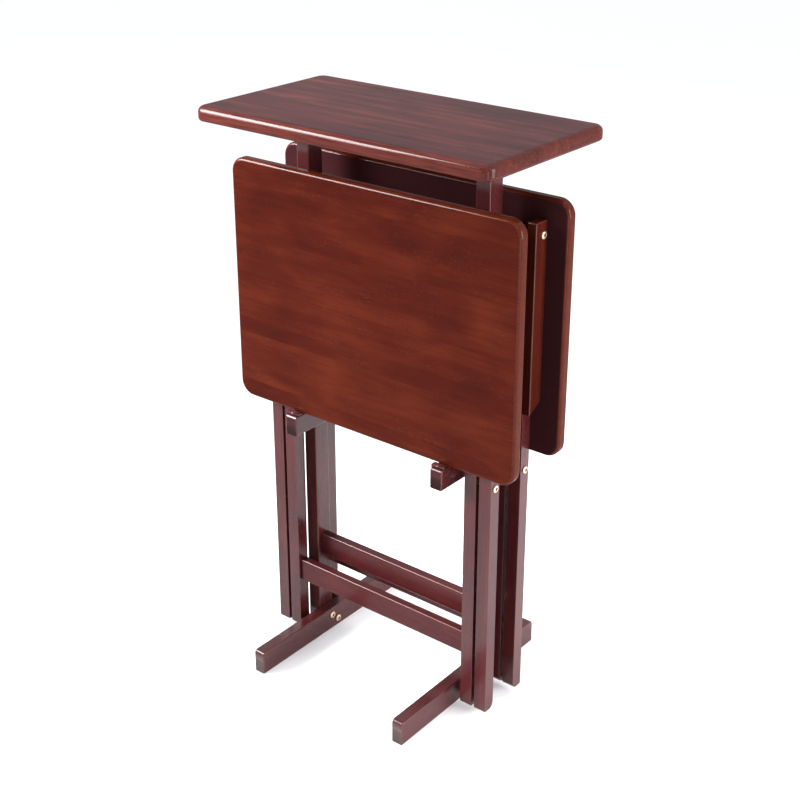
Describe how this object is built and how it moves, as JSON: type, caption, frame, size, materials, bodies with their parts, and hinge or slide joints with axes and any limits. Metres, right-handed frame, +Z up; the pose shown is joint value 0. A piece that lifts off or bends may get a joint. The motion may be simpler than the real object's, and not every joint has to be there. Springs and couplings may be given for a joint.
{
  "type": "folding tray table",
  "caption": "Wooden folding tray tables with crossed legs, stored upright on a stand with a fixed top, feet and arms.",
  "frame": {"origin": "on the floor, under the middle of the stand", "axes": "+X to the right along the width of the tops, +Y from front to back, +Z up"},
  "size_m": [0.4826, 0.32, 0.83],
  "materials": {
    "board_wood": "glossy mahogany stain",
    "stick_wood": "glossy mahogany stain",
    "plain_dowel": "bare hardwood",
    "brass": "brass plated"
  },
  "bodies": {
    "stand": {"stand_top": "board_wood", "stand_rail": "stick_wood", "stand_post_left": "stick_wood", "stand_foot_left": "stick_wood", "stand_arm_left": "stick_wood", "arm_stop_front_left": "stick_wood", "arm_stop_back_left": "stick_wood", "foot_bolt_upper_left": "brass", "foot_bolt_lower_left": "brass", "arm_bolt_left": "brass", "rail_bolt_left": "brass", "top_dowel_left": "plain_dowel", "stand_post_right": "stick_wood", "stand_foot_right": "stick_wood", "stand_arm_right": "stick_wood", "arm_stop_front_right": "stick_wood", "arm_stop_back_right": "stick_wood", "foot_bolt_upper_right": "brass", "foot_bolt_lower_right": "brass", "arm_bolt_right": "brass", "rail_bolt_right": "brass", "top_dowel_right": "plain_dowel"},
    "front_pivots": {"front_cleat_bolt_left": "brass", "front_cleat_bolt_right": "brass", "front_cleat_nut_left": "brass", "front_cleat_nut_right": "brass"},
    "front_table_top": {"front_tray_top": "board_wood", "front_cleat_left": "stick_wood", "front_cleat_right": "stick_wood"},
    "front_outer_legs": {"front_outer_leg_left": "stick_wood", "front_outer_leg_right": "stick_wood", "front_cross_bolt_left": "brass", "front_cross_bolt_right": "brass"},
    "front_crossbar_slider": {"front_crossbar": "stick_wood"},
    "front_inner_legs": {"front_inner_leg_left": "stick_wood", "front_inner_leg_right": "stick_wood", "front_leg_rail": "stick_wood", "front_cross_nut_left": "brass", "front_cross_nut_right": "brass"},
    "back_pivots": {"back_cleat_bolt_left": "brass", "back_cleat_bolt_right": "brass", "back_cleat_nut_left": "brass", "back_cleat_nut_right": "brass"},
    "back_table_top": {"back_tray_top": "board_wood", "back_cleat_left": "stick_wood", "back_cleat_right": "stick_wood"},
    "back_outer_legs": {"back_outer_leg_left": "stick_wood", "back_outer_leg_right": "stick_wood", "back_cross_bolt_left": "brass", "back_cross_bolt_right": "brass"},
    "back_crossbar_slider": {"back_crossbar": "stick_wood"},
    "back_inner_legs": {"back_inner_leg_left": "stick_wood", "back_inner_leg_right": "stick_wood", "back_leg_rail": "stick_wood", "back_cross_nut_left": "brass", "back_cross_nut_right": "brass"}
  },
  "joints": [
    {"name": "front_lift_off", "type": "hinge", "parent": "stand", "child": "front_pivots", "pos_m": [0, -0.31949, 0.27818], "axis": [1, 0, 0], "range_deg": [0, 78]},
    {"name": "front_top_tilt", "type": "hinge", "parent": "front_pivots", "child": "front_table_top", "pos_m": [0, -0.0345, 0.7017], "axis": [1, 0, 0], "range_deg": [-168.01, 0]},
    {"name": "front_outer_legs_swing", "type": "hinge", "parent": "front_pivots", "child": "front_outer_legs", "pos_m": [0, -0.0345, 0.7017], "axis": [1, 0, 0], "range_deg": [-99.51, 0]},
    {"name": "front_crossbar_slide", "type": "slide", "parent": "front_table_top", "child": "front_crossbar_slider", "axis": [0, 0, -1], "range_m": [0, 0.24608]},
    {"name": "front_inner_legs_swing", "type": "hinge", "parent": "front_crossbar_slider", "child": "front_inner_legs", "pos_m": [0, -0.0345, 0.7017], "axis": [1, 0, 0], "range_deg": [0, 111.51]},
    {"name": "back_lift_off", "type": "hinge", "parent": "stand", "child": "back_pivots", "pos_m": [0, 0.31949, 0.27818], "axis": [-1, 0, 0], "range_deg": [0, 78]},
    {"name": "back_top_tilt", "type": "hinge", "parent": "back_pivots", "child": "back_table_top", "pos_m": [0, 0.0345, 0.7017], "axis": [-1, 0, 0], "range_deg": [-168.01, 0]},
    {"name": "back_outer_legs_swing", "type": "hinge", "parent": "back_pivots", "child": "back_outer_legs", "pos_m": [0, 0.0345, 0.7017], "axis": [-1, 0, 0], "range_deg": [-99.51, 0]},
    {"name": "back_crossbar_slide", "type": "slide", "parent": "back_table_top", "child": "back_crossbar_slider", "axis": [0, 0, -1], "range_m": [0, 0.24608]},
    {"name": "back_inner_legs_swing", "type": "hinge", "parent": "back_crossbar_slider", "child": "back_inner_legs", "pos_m": [0, 0.0345, 0.7017], "axis": [-1, 0, 0], "range_deg": [0, 111.51]}
  ],
  "couplings": [
    {"joint": "front_top_tilt", "follows": "front_lift_off", "ratio": -2.1538},
    {"joint": "front_outer_legs_swing", "follows": "front_lift_off", "ratio": -1.2756},
    {"joint": "front_crossbar_slide", "follows": "front_lift_off", "m_per_rad": 0.18075},
    {"joint": "front_inner_legs_swing", "follows": "front_lift_off", "ratio": 1.4295},
    {"joint": "back_top_tilt", "follows": "back_lift_off", "ratio": -2.1538},
    {"joint": "back_outer_legs_swing", "follows": "back_lift_off", "ratio": -1.2756},
    {"joint": "back_crossbar_slide", "follows": "back_lift_off", "m_per_rad": 0.18075},
    {"joint": "back_inner_legs_swing", "follows": "back_lift_off", "ratio": 1.4295}
  ]
}
